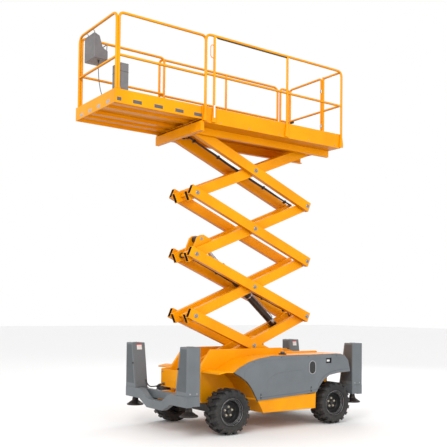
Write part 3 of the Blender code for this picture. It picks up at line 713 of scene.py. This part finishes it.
def hoses():
    """The hydraulic and electric lines that climb the stack, frame by frame."""
    for stage in range(1, STAGES + 1):
        outer = stage % 2 == 0
        low, high = PIVOT.z + (stage - 1) * RISE, PIVOT.z + stage * RISE
        if outer:
            start, end = Vector((REAR_X, 0, low)), Vector((PIVOT.x, 0, high))
        else:
            start, end = Vector((PIVOT.x, 0, low)), Vector((REAR_X, 0, high))
        body = ("outer_frame_%d" if outer else "inner_frame_%d") % stage
        along = (end - start).normalized()
        kit = Kit("hoses_stage_%d" % stage)
        lift = Vector((-along.z, 0, along.x))
        above_arm = 0.040
        lift = lift * (-above_arm if lift.z < 0 else above_arm)
        begin, finish = start + along * 0.06 + lift, end - along * 0.05 + lift
        side = -1 if outer else 1
        for y, sag, radius in ((0.108, 0.004, 0.0105), (0.089, 0.008, 0.0105),
                               (0.099, 0.026, 0.0090)):
            hose_run(kit, begin, finish, side * y, sag, radius)
        for t in (0.06, 0.28, 0.5, 0.72, 0.94):
            place = begin.lerp(finish, t)
            low_y, high_y = sorted((side * (INNER_Y - 0.0005), side * 0.076))
            kit.box((place.x - 0.014, low_y, place.z - 0.036),
                    (place.x + 0.014, high_y, place.z + 0.014), "black", 0.004,
                    tilt(along))
        curl_r = 0.026
        for tip, way in ((begin, -1), (finish, 1)):
            curl = []
            for i in range(22):
                angle = math.radians(15 * i)
                curl.append(tip + across(side * (0.089 - 0.0005 * i))
                            + along * way * curl_r * math.sin(angle)
                            - lift * (curl_r / above_arm) * (1 - math.cos(angle)))
            kit.tube(curl, 0.0090, "hose", 10)
        kit.peg(end + across(side * 0.092), across(side * 0.030), 0.044, "black", 36, 0.004)
        kit.done(body)
    kit = Kit("base_hoses")
    y = -0.372
    loop = [at(-0.400, y, 1.170), at(-0.385, y, 1.215), at(-0.400, y, 1.262),
            at(-0.450, y, 1.290), at(-0.510, y, 1.272), at(-0.535, y, 1.215),
            at(-0.530, y, 1.130)]
    kit.tube(smooth_route(loop, 0.012), 0.0110, "hose", 12)
    kit.tube(smooth_route([p + Vector((0.030, 0.016, -0.018)) for p in loop], 0.012), 0.0085,
             "hose", 12)
    kit.done("chassis")


def lift_cylinder():
    foot = Vector(JOINTS["cylinder_swing"]["pos_m"])
    along = Vector(JOINTS["cylinder_extend"]["axis"]).normalized()
    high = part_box("cylinder_rod")[1]
    head = Vector((high.x - 0.048, 0, high.z - 0.048))
    above = Vector((-along.z, 0, along.x))
    length = 1.470
    kit = Kit("cylinder_barrel_finish")
    body = [(0.0, 0.035), (0.040, 0.035), (0.056, 0.050), (0.056, length - 0.070),
            (0.0635, length - 0.064), (0.0640, length - 0.004), (0.060, length + 0.008),
            (0.038, length + 0.010), (0.034, length + 0.004), (0.0, length + 0.004)]
    kit.turned(body, foot, along, "steel_dark", 56)
    kit.peg(foot + across(-0.080), across(0.160), 0.050, "steel_dark", 40, 0.003)
    kit.peg(foot + along * (length + 0.008), along * 0.0015, 0.0375, "black", 36, 0.0005)
    pipe = [foot + along * reach + above * height
            for reach, height in ((0.16, 0.056), (0.16, 0.078), (0.24, 0.078), (1.30, 0.078),
                                  (1.36, 0.078), (1.36, 0.056))]
    kit.tube(bent(pipe, 0.018, 4), 0.007, "steel", 12)
    for t in (0.18, 0.75, 1.34):
        place = foot + along * t
        kit.turned([(0.0575, -0.010), (0.060, 0.0), (0.0575, 0.010), (0.050, 0.0)], place, along,
                   "steel", 40)
    block = foot + along * 0.15
    kit.box(block + Vector((-0.035, 0.040, -0.030)), block + Vector((0.035, 0.078, 0.030)),
            "steel", 0.004, tilt(along))
    kit.done("cylinder_barrel", ["cylinder_barrel"])
    kit = Kit("cylinder_rod_finish")
    kit.rod(head - along * 1.400, head - along * 0.030, 0.031, "chrome", 48, 0.003)
    kit.peg(head + across(-0.080), across(0.160), 0.048, "steel_dark", 40, 0.003)
    kit.rod(head - along * 0.085, head - along * 0.03, 0.038, "steel_dark", 40, 0.003)
    kit.done("cylinder_rod", ["cylinder_rod"])
    kit = Kit("cylinder_head_pin")
    for side in (-1, 1):
        kit.peg(head + across(side * 0.083), across(side * 0.045), 0.026, "steel", 32, 0.002)
    kit.done("inner_frame_3")


# ---------------------------------------------------------------- chassis
def chassis():
    dressed("chassis_frame", bevel=0.005)
    for tag in ("front", "rear"):
        dressed(tag + "_bumper", bevel=0.006)
    dressed("front_axle", bevel=0.004)
    for tag, side in SIDES:
        dressed("side_box_" + tag, bevel=0.012)
        door(tag, side)
        for end in ("front", "rear"):
            tower(end + "_" + tag, side)
            jack(end + "_" + tag)
            tyre(end + "_" + tag, side)
            rim(end + "_" + tag, side)
        knuckle(tag, side)
    rear_axle()
    nose_details()
    engine = frame["nodes"]["engine_block"]
    engine.data.materials.clear()
    engine.data.materials.append(LOOKS["steel_dark"])


DOOR_LINES = (      # the pressed upper edge, the lower edge, the crease and the crease's fall
    ("grey", ((0.60, 0.560), (0.70, 0.705), (0.79, 0.800), (0.78, 0.905), (0.66, 0.985),
              (0.50, 1.028), (0.30, 1.050), (-1.10, 1.050))),
    ("grey_dark", ((0.545, 0.500), (-0.60, 0.560), (-0.66, 0.640), (-0.75, 0.735),
                   (-0.90, 0.815), (-1.10, 0.850), (-1.335, 0.860))),
    ("grey", ((0.330, 0.770), (0.200, 0.835), (-0.050, 0.868), (-0.350, 0.880))),
    ("grey", ((0.330, 0.770), (0.365, 0.720), (0.340, 0.690))))


def door(tag, side):
    """The side cover: pressed lines, port, handle recess, latches, bolts and seal."""
    node = "door_" + tag
    dressed(node, bevel=0.0045)
    kit = Kit("door_fittings_" + tag)
    y = side * DOOR_Y
    out = across(side)
    for x, z in ((0.49, 0.520), (-0.51, 0.575)):
        kit.box(at(x - 0.008, y - 0.001, z - 0.042), at(x + 0.008, y + 0.0025, z + 0.042), "black",
                0.002)
        kit.peg(at(x, y + side * 0.002, z), out * 0.003, 0.006, "steel", 16, 0.001)
    for x, z in ((0.62, 1.032), (0.10, 1.083), (-0.45, 1.083), (-1.05, 1.083)):
        kit.bolt(at(x, y - side * 0.0005, z), out, 0.007, "grey_dark", 0.004)
    mid_x, mid_z, half = -0.535, 0.910, 0.0345
    kit.rings([[at(mid_x + (x - mid_x) * wide, side * depth, mid_z + (z - mid_z) * tall)
                for x, z in oval(mid_x, mid_z, 0.0615, half)]
               for wide, tall, depth in ((1.0, 1.0, DOOR_Y - 0.0001), (0.93, 0.96, 0.8560),
                                         (0.85, 0.92, 0.8300))], "black")
    kit.slab((-0.944, -0.826), side * 0.840, 0.004, (0.966, 1.044), "black", 0.002)
    kit.slab((-0.915, -0.855), side * 0.848, 0.003, (0.990, 1.020), "white", 0.002)
    for look, line in DOOR_LINES:
        route = [at(x, side * (DOOR_Y - 0.0004), z) for x, z in line]
        kit.tube(smooth_route(route, 0.03), 0.0032, look, 10)
    rim_ring = [at(x, y, z) for x, z in oval(mid_x, mid_z, 0.066, half)]
    kit.tube(rim_ring + rim_ring[:1], 0.0050, "patch", 10)
    kit.done("door_" + tag)
    seal = Kit("door_seal_" + tag)
    arch = [(0.985, 0.884), (0.850, 0.817), (0.742, 0.742), (0.652, 0.641), (0.593, 0.541),
            (0.540, 0.452)]
    seal.tube(smooth_route([at(x, side * 0.8490, z) for x, z in arch], 0.02), 0.0095, "black", 12)
    seal.slab((-1.10, 0.32), side * 0.8490, 0.003, (1.1045, 1.1095), "black", 0.002)
    seal.done("chassis")


def oval(x, z, radius, half):
    """Points round an upright slot with round ends."""
    points = []
    for start, shift in ((0, half), (180, -half)):
        for i in range(13):
            angle = math.radians(start + 15 * i)
            points.append((x + radius * math.cos(angle), z + shift + radius * math.sin(angle)))
    return points


def tower(tag, side):
    """A stabiliser housing with end panels drawn as dark grey plates, painted recess shade, a top
    plug and a blank label.
    """
    node = "tower_" + tag
    dressed(node, bevel=0.008)
    low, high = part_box(node)
    kit = Kit("tower_fittings_" + tag)
    near_y, far_y = side * 0.600, side * 0.860
    for x, out in ((low.x, -1), (high.x, 1)):
        part = [Vector((x, near_y + side * 0.02, low.z + 0.06)), Vector((x, far_y, low.z + 0.06)),
                Vector((x, far_y, high.z - 0.030)), Vector((x, side * 0.715, high.z - 0.030))]
        skin = [[p + Vector((out * shift, 0, 0)) for p in part] for shift in (0.0005, -0.010)]
        # painted shade: the recessed end panels are dark grey plates on the end faces
        kit.rings(skin, "grey_dark")
    for step in (0.25, 0.75):
        x = low.x + (high.x - low.x) * step
        kit.bolt((x, side * 0.8795, low.z + 0.035), across(side), 0.008, "steel", 0.004)
        kit.bolt((x, side * 0.862, high.z - 0.0005), up(1), 0.008, "steel", 0.0035)
    plug = Vector((low.x + 0.110, side * 0.770, high.z - 0.001))
    kit.peg(plug, up(0.005), 0.050, "grey_dark", 40, 0.002)
    kit.done("chassis")
    if side < 0:
        label(tag, high.x)


def label(tag, front):
    """A small blank label with a red head, on the leaning face."""
    top, bottom = Vector((0, -0.690, 1.270)), Vector((0, -0.576, 0.5903))
    down = (bottom - top).normalized()
    out = Vector((0, -down.z, down.y))
    kit = Kit("tower_label_" + tag)
    x0, x1 = front - 0.160, front - 0.075
    for begin, end, look in ((0.020, 0.036, "red"), (0.037, 0.110, "white")):
        corners = []
        for x, t in ((x0, begin), (x1, begin), (x1, end), (x0, end)):
            corners.append(top + down * t + Vector((x, 0, 0)))
        kit.rings([[p - out * 0.001 for p in corners], [p + out * 0.0014 for p in corners]], look)
    kit.done("chassis")


def jack(tag):
    """A stabiliser leg: stem, swivel joint and a dished pad."""
    node = "jack_" + tag
    low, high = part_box(node)
    centre = Vector((*middle(node).xy, low.z))
    kit = Kit("jack_pad_" + tag)
    tall = high.z - low.z
    profile = [(0.0, tall), (0.038, tall), (0.040, tall - 0.004), (0.040, 0.112), (0.046, 0.108),
               (0.048, 0.078), (0.058, 0.066), (0.085, 0.040), (0.118, 0.026), (0.128, 0.018),
               (0.130, 0.010), (0.128, 0.002), (0.122, 0.0), (0.0, 0.0)]
    kit.turned(profile, centre, (0, 0, 1), "steel_dark", 56)
    for i in range(6):
        turn = Matrix.Rotation(math.pi * i / 3, 3, "Z")
        start = centre + turn @ Vector((0.045, 0, 0.070))
        end = centre + turn @ Vector((0.112, 0, 0.026))
        kit.tube([start, end], 0.006, "steel_dark", 8)
    kit.peg(centre + up(0.135), up(0.013), 0.0455, "steel", 40, 0.002)
    kit.done("chassis", [node])


def knuckle(tag, side):
    """The stub axle with its kingpin, caps and steering arm."""
    node = "knuckle_" + tag
    joint = Vector(JOINTS["steer_" + tag]["pos_m"])
    low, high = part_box(node)
    kit = Kit("stub_axle_" + tag)
    foot, top = low.z - joint.z, high.z - joint.z
    kit.turned([(0.0, foot), (0.036, foot), (0.042, foot + 0.008), (0.042, -0.050),
                (0.058, -0.030), (0.058, 0.030), (0.042, 0.050), (0.042, top - 0.008),
                (0.036, top), (0.0, top)], joint, up(1), "steel_dark", 40)
    end = Vector((joint.x, side * 0.6940, joint.z))
    kit.rod(joint, end, 0.034, "steel_dark", 36, 0.002)
    flange = Vector((joint.x, side * 0.672, joint.z))
    kit.peg(flange, across(side * 0.018), 0.052, "steel", 36, 0.002)
    arm_end = joint + Vector((-0.125, side * -0.020, 0.0))
    kit.tube([joint, joint + Vector((-0.060, side * -0.012, 0.0)), arm_end], 0.016, "steel_dark",
             12)
    kit.peg(arm_end - up(0.020), up(0.040), 0.018, "steel", 24, 0.003)
    kit.done("knuckle_" + tag, [node])
    ram = Kit("steering_ram_" + tag)
    inner = Vector((arm_end.x - 0.002, side * 0.150, joint.z))
    ram.peg(inner, across(side * 0.245), 0.024, "steel_dark", 32, 0.003)
    ram.peg(inner + across(side * 0.245), across(side * 0.075), 0.011, "chrome", 24, 0.002)
    ram.done("chassis")


def rear_axle():
    """The rear axle tube with its housing, flanges and motor covers."""
    low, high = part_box("rear_axle")
    z = HUB_REAR.z
    x = middle("rear_axle").x
    kit = Kit("rear_axle_finish")
    kit.rod((x, low.y, z), (x, high.y, z), 0.045, "steel_dark", 40, 0.002)
    kit.box((x - 0.070, -0.520, z - 0.068), (x + 0.070, 0.520, z + 0.068), "steel_dark", 0.012)
    for side in (-1, 1):
        kit.box((x - 0.080, side * 0.26 - 0.06, z + 0.055), (x + 0.080, side * 0.26 + 0.06,
                                                           high.z), "steel_dark", 0.004)
        kit.rod((x, side * 0.520, z), (x, side * 0.545, z), 0.066, "steel", 48, 0.003)
        for i in range(8):
            angle = 2 * math.pi * i / 8
            foot = Vector((x + 0.055 * math.cos(angle), side * 0.545,
                           z + 0.055 * math.sin(angle)))
            kit.bolt(foot, (0, side, 0), 0.005, "zinc", 0.004)
    kit.done("chassis", ["rear_axle"])


def nose_details():
    """Bolts on the nose and hoods, the front stabilisers' hoses, caps, knobs and seams."""
    kit = Kit("nose_fittings")
    nose_x = MID_X + 1.450
    for side in (-1, 1):
        for z in (0.65, 0.84):
            kit.bolt((nose_x - 0.0005, side * 0.345, z), (1, 0, 0), 0.009, "steel", 0.005)
        for x in (-0.9, -0.4, 0.1, 0.6, 1.1):
            kit.bolt(at(x, side * 0.375, 1.1995), up(1), 0.007, "steel", 0.0004)
        hose = [at(x, side * y, z) for x, y, z in (
            (1.44, 0.30, 0.655), (1.50, 0.31, 0.645), (1.56, 0.36, 0.618), (1.585, 0.43, 0.606),
            (1.590, 0.50, 0.606), (1.600, 0.556, 0.640), (1.610, 0.590, 0.700))]
        kit.tube(smooth_route(hose, 0.02), 0.009, "hose", 12)
        kit.slab((1.4495, 1.462), side * 0.30, 0.02, (0.632, 0.675), "steel", 0.003)
    kit.box((nose_x - 0.001, -0.200, 0.700), (nose_x + 0.0016, 0.200, 0.800), "yellow", 0.001)
    for side in (-1, 1):
        cap = at(-0.110, side * 0.640, 1.1095)
        kit.peg(cap, up(0.018), 0.062, "black", 40, 0.005)
        kit.peg(cap + up(0.016), up(0.030), 0.034, "grey_dark", 36, 0.006)
        kit.peg(cap + up(0.044), up(0.006), 0.018, "patch", 28, 0.002)
        knob = at(1.7995, side * 0.655, 0.960)
        kit.peg(knob, Vector((0.014, 0, 0)), 0.014, "black", 24, 0.003)
        for x in (0.20, -0.30, -0.80, -1.10):
            kit.bolt(at(x, side * 0.800, 1.1095), up(1), 0.008, "steel", 0.004)
    kit.done("chassis")
    cover = Kit("belly_seams")
    for side in (-1, 1):
        cover.slab((-0.60, 0.52), side * 0.300, 0.02, (0.2985, 0.3005), "steel_dark", 0.0008)
    cover.done("chassis")


# ---------------------------------------------------------------- platform
def decks():
    dressed("main_deck", bevel=0.003)
    dressed("extension_deck", bevel=0.003)
    kit = Kit("main_floor_tread")
    low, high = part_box("main_deck")
    kit.box((low.x + 0.015, -0.598, 4.5561), (high.x - 0.030, 0.598, 4.5585), "tread", 0.001)
    kit.done("platform")
    kit = Kit("extension_floor_tread")
    low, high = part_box("extension_deck")
    kit.box((low.x + 0.004, -0.606, 4.6201), (high.x - 0.014, 0.606, 4.6222), "tread", 0.001)
    kit.done("extension")
    deck_details()


def deck_details():
    """Cut-outs drawn as dark grey sheets, painted shade in place of holes, and blank patches on the
    boards, with bolts and a rounded top edge.
    """
    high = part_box("extension_deck")[1]
    kit = Kit("extension_board_fittings")
    # painted shade: each cut-out is a thin dark grey sheet on the board's face
    for side in (-1, 1):
        for x in (1.500, 1.816, 2.155, 2.488, 2.765):
            half = 0.032 if x > 2.7 else 0.068
            kit.slab((x - half, x + half), side * 0.6225, 0.0015, (4.568, 4.616), "grey_dark",
                     0.0012)
    for y in (-0.42, -0.14, 0.14, 0.42):
        kit.box((high.x - 0.0008, y - 0.048, 4.566), (high.x + 0.0008, y + 0.048, 4.612), "patch",
                0.0005)
    kit.done("extension")
    kit = Kit("main_board_fittings")
    for side in (-1, 1):
        y = side * (DECK_HALF + 0.0005)
        kit.tube([at(1.445, side * 0.634, BOARD_TOP - 0.003),
                  at(-1.325, side * 0.634, BOARD_TOP - 0.003)], 0.0055, "yellow", 10)
        for x in (-1.20, -0.62, -0.02, 0.58, 1.12):
            kit.bolt(at(x, y, 4.530), (0, side, 0), 0.006, "steel", 0.003)
    kit.done("platform")


def post_foot(kit, x, y, z):
    """A plate gusset at the foot of a post."""
    wide, thick = 0.036, 0.012
    rings = []
    for height, half in ((z, wide), (z + 0.050, wide), (z + 0.150, RAIL_R)):
        rings.append([(x - half, y - thick, height), (x + half, y - thick, height),
                      (x + half, y + thick, height), (x - half, y + thick, height)])
    kit.rings(rings, "yellow")


def main_rails():
    """The guard rails of the main deck, with feet, a rubbing strip and a catch."""
    spans = {"left": (1.400, -1.330, (1.250, -0.146)), "right": (1.400, -1.050, (0.090,))}
    for tag, side in SIDES:
        y = side * (DECK_HALF + RAIL_R)
        front, rear, posts = spans[tag]
        kit = Kit("main_rail_%s_tubes" % tag)
        loop = [at(front, y, BOARD_Z), at(front, y, TOP_RAIL), at(rear, y, TOP_RAIL),
                at(rear, y, BOARD_Z)]
        kit.rail(bent(loop, 0.10, 8))
        kit.rail([at(front, y, MID_RAIL), at(rear, y, MID_RAIL)], BAR_R)
        for x in posts:
            kit.rail([at(x, y, BOARD_Z), at(x, y, TOP_RAIL)], POST_R)
        for x in (front, rear) + posts:
            post_foot(kit, x + MID_X, y, BOARD_Z + 0.002)
            for z in (4.545, 4.600):
                kit.bolt(at(x, y + side * 0.012, z), (0, side, 0), 0.006, "steel", 0.003)
        if side > 0:
            kit.slab((-0.13, 1.20), y, 0.008, (TOP_RAIL - 0.031, TOP_RAIL - 0.016), "black", 0.003)
            kit.box(at(1.240, y + 0.0190, 4.575), at(1.266, y + 0.0235, 4.755), "white", 0.002)
            catch = [at(x, y, z) for x, z in ((1.250, 5.640), (1.300, 5.640), (1.318, 5.610),
                                              (1.318, 5.480), (1.300, 5.455), (1.250, 5.455))]
            kit.tube(bent(catch, 0.010, 3), 0.006, "yellow", 10)
        kit.done("platform", ["main_rail_" + tag])


def rear_rails():
    x = middle("rear_rail_left").x
    kit = Kit("rear_rail_left_tubes")
    post_y, end_y = 0.262, DECK_HALF - 0.002
    kit.rail([(x, post_y, BOARD_TOP), (x, post_y, TOP_RAIL)])
    for z in (TOP_RAIL - 0.02, MID_RAIL):
        kit.rail([(x, post_y, z), (x, end_y, z)], BAR_R)
    kit.done("platform", ["rear_rail_left"])
    kit = Kit("rear_rail_right_tubes")
    y = -(DECK_HALF + RAIL_R)
    ahead, back = -1.115, -1.330
    loop = [at(ahead, y, BOARD_Z), at(ahead, y, TOP_RAIL), at(back, y, TOP_RAIL),
            at(back, y, BOARD_Z)]
    kit.rail(bent(loop, 0.06, 8))
    kit.rail([at(ahead, y, MID_RAIL), at(back, y, MID_RAIL)], BAR_R)
    for px in (ahead, back):
        post_foot(kit, px + MID_X, y, BOARD_Z + 0.002)
    kit.done("platform", ["rear_rail_right"])
    gate = Kit("rear_gate_tubes")
    near, far = 0.215, -0.600
    top, bottom = TOP_RAIL - 0.010, 4.770
    loop = [(x, 0.0, bottom), (x, near, bottom), (x, near, top), (x, far, top), (x, far, bottom),
            (x, -0.001, bottom)]
    gate.rail(bent(loop, 0.06, 8))
    gate.rail([(x, near, MID_RAIL), (x, far, MID_RAIL)], BAR_R)
    gate.box((x - 0.012, far + 0.02, MID_RAIL - 0.050), (x + 0.012, far + 0.10, MID_RAIL + 0.010),
             "black", 0.004)
    for z in (4.95, 5.55):
        gate.rod((x, near, z - 0.025), (x, near, z + 0.025), RAIL_R + 0.0035, "steel", 28, 0.002)
    gate.done("rear_gate", ["rear_gate"])


def extension_rails():
    low = 4.6203
    low_box, high_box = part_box("extension_rail")
    x = high_box.x - RAIL_R
    y = 0.590
    kit = Kit("extension_rail_tubes")
    loop = [(x, y, low), (x, y, TOP_RAIL), (x, -y, TOP_RAIL), (x, -y, low)]
    kit.rail(bent(loop, 0.12, 8))
    kit.rail([(x, y, 5.170), (x, -y, 5.170)], BAR_R)
    ahead, back = x - 1.9 * RAIL_R, low_box.x + RAIL_R
    for side in (-1, 1):
        rail_y = side * (y - 0.001)
        loop = [(ahead, rail_y, low + 0.001), (ahead, rail_y, TOP_RAIL - 0.002),
                (back, rail_y, TOP_RAIL - 0.002), (back, rail_y, low + 0.001)]
        kit.rail(bent(loop, 0.08, 8))
        kit.rail([(ahead, rail_y, MID_RAIL), (back, rail_y, MID_RAIL)], BAR_R)
        for px in (ahead, back):
            post_foot(kit, px, rail_y, low + 0.003)
    kit.done("extension", ["extension_rail"])


def control_box():
    """The control box on the front rail: desk, joystick, buttons, guard bar and hooks."""
    low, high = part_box("control_box")
    dressed("control_box", "box", 0.010)
    kit = Kit("control_desk")
    desk_low = Vector((low.x + 0.050, 0, 5.510))
    slope = Vector((low.x + 0.130 - desk_low.x, 0, 5.700 - desk_low.z)).normalized()
    out = Vector((-slope.z, 0, slope.x))
    middle_y = (low.y + high.y) / 2
    kit.box((low.x - 0.0005, low.y + 0.03, 5.385), (low.x + 0.002, high.y - 0.03, 5.485), "black",
            0.001)
    for y, look, radius in ((middle_y - 0.10, "red", 0.020), (middle_y + 0.10, "black", 0.013),
                            (middle_y + 0.05, "patch", 0.010)):
        foot = Vector((low.x + 0.094, y, 5.590))
        kit.peg(foot - out * 0.004, out * 0.016, radius * 0.7, "black", 24, 0.001)
        kit.peg(foot + out * 0.010, out * 0.014, radius, look, 32, 0.004)
    stick = Vector((low.x + 0.040, middle_y, 5.515))
    kit.turned([(0.0, 0.0), (0.030, 0.0), (0.022, 0.010), (0.026, 0.014), (0.016, 0.024),
                (0.018, 0.028), (0.008, 0.038), (0.0, 0.038)], stick, (0, 0, 1), "black", 32)
    kit.peg(stick + up(0.03), up(0.055), 0.006, "steel", 16, 0.001)
    kit.turned([(0.0, 0.080), (0.012, 0.080), (0.018, 0.100), (0.018, 0.120), (0.010, 0.135),
                (0.0, 0.135)], stick, (0, 0, 1), "black", 28)
    guard = [Vector((low.x + x, y, z)) for x, y, z in (
        (0.012, low.y + 0.020, 5.495), (0.004, low.y + 0.020, 5.600),
        (0.004, high.y - 0.020, 5.600), (0.012, high.y - 0.020, 5.495))]
    kit.tube(bent(guard, 0.03, 5), 0.0065, "box", 12)
    for y in (low.y + 0.06, high.y - 0.06):
        hook = [Vector((high.x + x, y, z)) for x, z in ((-0.030, 5.700), (-0.030, 5.775),
                                                        (0.012, 5.790), (0.020, 5.770))]
        kit.tube(bent(hook, 0.012, 3), 0.006, "steel", 10)
    gland = at(2.660, -0.250, 5.3705)
    relief = [(0.0, 0.0), (0.0150, 0.0), (0.0150, 0.008), (0.0105, 0.010), (0.0095, 0.016),
              (0.0098, 0.018), (0.0085, 0.024), (0.0088, 0.026), (0.0075, 0.034),
              (0.0060, 0.040), (0.0, 0.040)]
    kit.turned(relief, gland, (0, 0, -1), "black", 28)
    kit.done("extension")


def manual_box():
    """The document box: a lidded case with a catch and hinge line."""
    low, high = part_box("manual_box")
    dressed("manual_box", "box", 0.008)
    kit = Kit("manual_box_lid")
    kit.box((low.x - 0.0005, low.y - 0.0004, high.z - 0.120),
            (high.x + 0.0005, high.y + 0.0004, high.z - 0.114), "black", 0.001)
    kit.box((low.x - 0.004, (low.y + high.y) / 2 - 0.018, high.z - 0.140),
            (low.x + 0.001, (low.y + high.y) / 2 + 0.018, high.z - 0.092), "black", 0.002)
    kit.box((low.x - 0.0015, low.y + 0.03, low.z + 0.05), (low.x, high.y - 0.03, high.z - 0.17),
            "grey_dark", 0.0006)
    kit.done("extension")


# ---------------------------------------------------------------- all of it
add_camera()
LOOKS = make_materials()
add_cable()
add_studio()
stack_frames()
stack_pins()
rollers()
hoses()
lift_cylinder()
chassis()
decks()
main_rails()
rear_rails()
extension_rails()
control_box()
manual_box()
